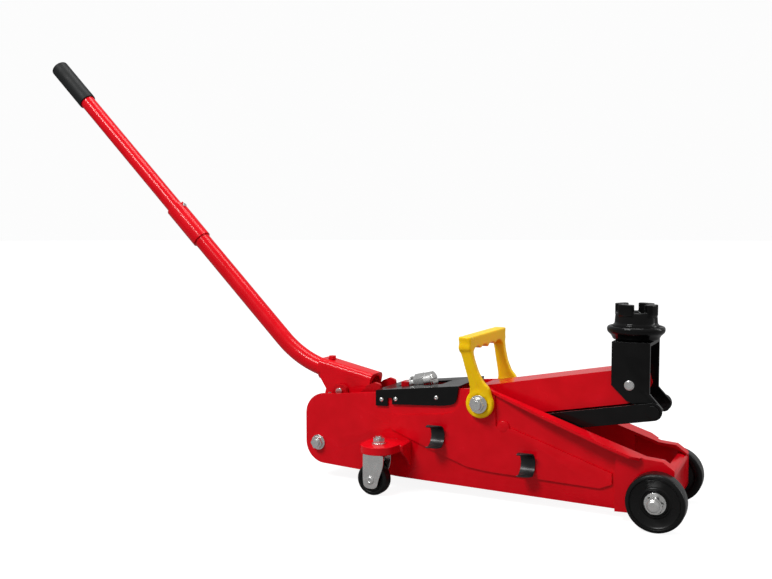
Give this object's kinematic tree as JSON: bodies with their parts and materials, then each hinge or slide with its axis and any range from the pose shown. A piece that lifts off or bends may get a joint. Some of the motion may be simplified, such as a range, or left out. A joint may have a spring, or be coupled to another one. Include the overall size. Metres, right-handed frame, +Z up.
{
  "type": "hydraulic trolley jack",
  "caption": "Low hydraulic trolley jack on two front wheels and swivel casters, with a parallel-link lift arm, turning saddle, folding carry handle and bent pump handle.",
  "frame": {"origin": "on the floor, under the middle of the jack's overall length with its handle, on the centre plane", "axes": "+X forward to the saddle and front wheels, +Y to the jack's left, +Z up"},
  "size_m": [0.9336, 0.192, 0.5661],
  "materials": {
    "red_paint": "glossy baked enamel",
    "red_casting": "painted iron casting",
    "black_paint": "glossy black enamel",
    "zinc": "bright zinc plate",
    "bright_steel": "ground and polished",
    "spring_steel": "oiled",
    "black_wheel": "moulded, slightly glossy",
    "caster_tread": "moulded rubber tread",
    "yellow_plastic": "moulded, fine grain",
    "black_rubber": "matt",
    "seal_rubber": "oiled",
    "black_clip": "black spring steel"
  },
  "bodies": {
    "chassis": {"side_plate_right": "red_paint", "side_plate_left": "red_paint", "front_cross_plate": "red_paint", "caster_bracket_right": "red_paint", "caster_bracket_left": "red_paint", "top_cover": "black_paint", "cover_screws": "zinc", "handle_clips": "black_clip", "rear_tie_bolt": "zinc", "front_axle": "zinc", "axle_washers": "zinc", "axle_nuts": "zinc", "arm_pivot_shaft": "zinc", "arm_pivot_nuts": "zinc", "link_pivot_studs": "zinc", "pump_base": "red_casting", "oil_reservoir": "red_casting", "filler_plug": "seal_rubber", "ram_cylinder": "bright_steel", "tank_nut": "red_casting", "rod_seal": "seal_rubber", "pump_gland": "bright_steel", "safety_valve": "zinc", "socket_pin": "zinc", "pump_spring": "spring_steel", "ram_return_spring": "spring_steel", "caster_kingpins": "zinc", "caster_races": "zinc"},
    "arm": {"lift_arm": "red_paint", "crank_pin": "zinc"},
    "crank_roller": {"crank_roller": "bright_steel"},
    "bracket": {"saddle_bracket": "black_paint", "bracket_pin": "zinc", "link_rivets": "black_paint"},
    "saddle": {"saddle": "black_paint", "saddle_circlip": "spring_steel"},
    "links": {"link_bars": "black_paint"},
    "ram": {"ram_rod": "bright_steel", "piston_seal": "seal_rubber", "ram_head": "bright_steel"},
    "release_valve": {"release_valve": "zinc"},
    "handle": {"handle_socket": "red_paint", "roller_pin": "zinc", "clamp_screw": "red_paint", "lower_handle_tube": "red_paint", "handle_coupling": "red_paint"},
    "pump_roller": {"pump_roller": "bright_steel"},
    "plunger": {"pump_plunger": "bright_steel"},
    "upper_handle": {"upper_handle_tube": "red_paint", "handle_grip": "black_rubber"},
    "snap_button": {"snap_button": "zinc"},
    "carry_handle": {"carry_handle": "yellow_plastic"},
    "front_wheel_right": {"front_wheel_right": "black_wheel"},
    "front_wheel_left": {"front_wheel_left": "black_wheel"},
    "caster_right": {"caster_fork_right": "zinc", "caster_axle_right": "zinc"},
    "caster_left": {"caster_fork_left": "zinc", "caster_axle_left": "zinc"},
    "caster_wheel_right": {"caster_wheel_right": "caster_tread"},
    "caster_wheel_left": {"caster_wheel_left": "caster_tread"}
  },
  "joints": [
    {"name": "arm_lift", "type": "hinge", "parent": "chassis", "child": "arm", "pos_m": [0.23382, 0, 0.115], "axis": [0, -1, 0], "range_deg": [-32.25, 44.5]},
    {"name": "bracket_level", "type": "hinge", "parent": "arm", "child": "bracket", "pos_m": [0.39918, 0, 0.1458], "axis": [0, -1, 0], "range_deg": [-44.5, 32.25]},
    {"name": "link_swing", "type": "hinge", "parent": "chassis", "child": "links", "pos_m": [0.25992, 0, 0.0887], "axis": [0, -1, 0], "range_deg": [-32.25, 44.5]},
    {"name": "saddle_turn", "type": "hinge", "parent": "bracket", "child": "saddle", "pos_m": [0.39982, 0, 0.193], "axis": [0, 0, 1], "continuous": true},
    {"name": "ram_slide", "type": "slide", "parent": "chassis", "child": "ram", "axis": [1, 0, 0], "range_m": [-0.03096, 0.04272]},
    {"name": "crank_roller_spin", "type": "hinge", "parent": "arm", "child": "crank_roller", "pos_m": [0.22766, 0, 0.05733], "axis": [0, 1, 0], "continuous": true},
    {"name": "handle_pump", "type": "hinge", "parent": "chassis", "child": "handle", "pos_m": [0.03582, 0, 0.11], "axis": [0, 1, 0], "range_deg": [-38, 24]},
    {"name": "pump_roller_spin", "type": "hinge", "parent": "handle", "child": "pump_roller", "pos_m": [0.01782, 0, 0.104], "axis": [0, 1, 0], "continuous": true},
    {"name": "plunger_slide", "type": "slide", "parent": "chassis", "child": "plunger", "axis": [0, 0, 1], "range_m": [-0.01194, 0.00754], "deforming": ["pump_spring"]},
    {"name": "upper_handle_pull", "type": "slide", "parent": "handle", "child": "upper_handle", "axis": [-0.7145, 0, 0.6997], "range_m": [0, 0.06]},
    {"name": "snap_button_press", "type": "slide", "parent": "upper_handle", "child": "snap_button", "axis": [0.6997, 0, 0.7145], "range_m": [-0.0026, 0], "stiffness_N_per_m": 600, "springref_m": 0.002},
    {"name": "carry_handle_swing", "type": "hinge", "parent": "chassis", "child": "carry_handle", "pos_m": [0.23382, 0, 0.115], "axis": [0, 1, 0], "range_deg": [-50, 6]},
    {"name": "release_valve_turn", "type": "hinge", "parent": "chassis", "child": "release_valve", "pos_m": [0.12382, 0, 0.1225], "axis": [0.9703, 0, 0.2419], "range_deg": [0, 360]},
    {"name": "front_wheel_right_spin", "type": "hinge", "parent": "chassis", "child": "front_wheel_right", "pos_m": [0.43582, -0.0629, 0.031], "axis": [0, 1, 0], "continuous": true},
    {"name": "caster_right_swivel", "type": "hinge", "parent": "chassis", "child": "caster_right", "pos_m": [0.11682, -0.074, 0.05], "axis": [0, 0, 1], "continuous": true},
    {"name": "caster_wheel_right_spin", "type": "hinge", "parent": "caster_right", "child": "caster_wheel_right", "pos_m": [0.11082, -0.074, 0.0195], "axis": [0, 1, 0], "continuous": true},
    {"name": "front_wheel_left_spin", "type": "hinge", "parent": "chassis", "child": "front_wheel_left", "pos_m": [0.43582, 0.0629, 0.031], "axis": [0, 1, 0], "continuous": true},
    {"name": "caster_left_swivel", "type": "hinge", "parent": "chassis", "child": "caster_left", "pos_m": [0.11682, 0.074, 0.05], "axis": [0, 0, 1], "continuous": true},
    {"name": "caster_wheel_left_spin", "type": "hinge", "parent": "caster_left", "child": "caster_wheel_left", "pos_m": [0.11082, 0.074, 0.0195], "axis": [0, 1, 0], "continuous": true}
  ],
  "couplings": [
    {"joint": "bracket_level", "follows": "arm_lift", "ratio": -1},
    {"joint": "link_swing", "follows": "arm_lift", "ratio": 1},
    {"joint": "ram_slide", "follows": "arm_lift", "m_per_rad": 0.055},
    {"joint": "plunger_slide", "follows": "handle_pump", "m_per_rad": 0.018}
  ]
}
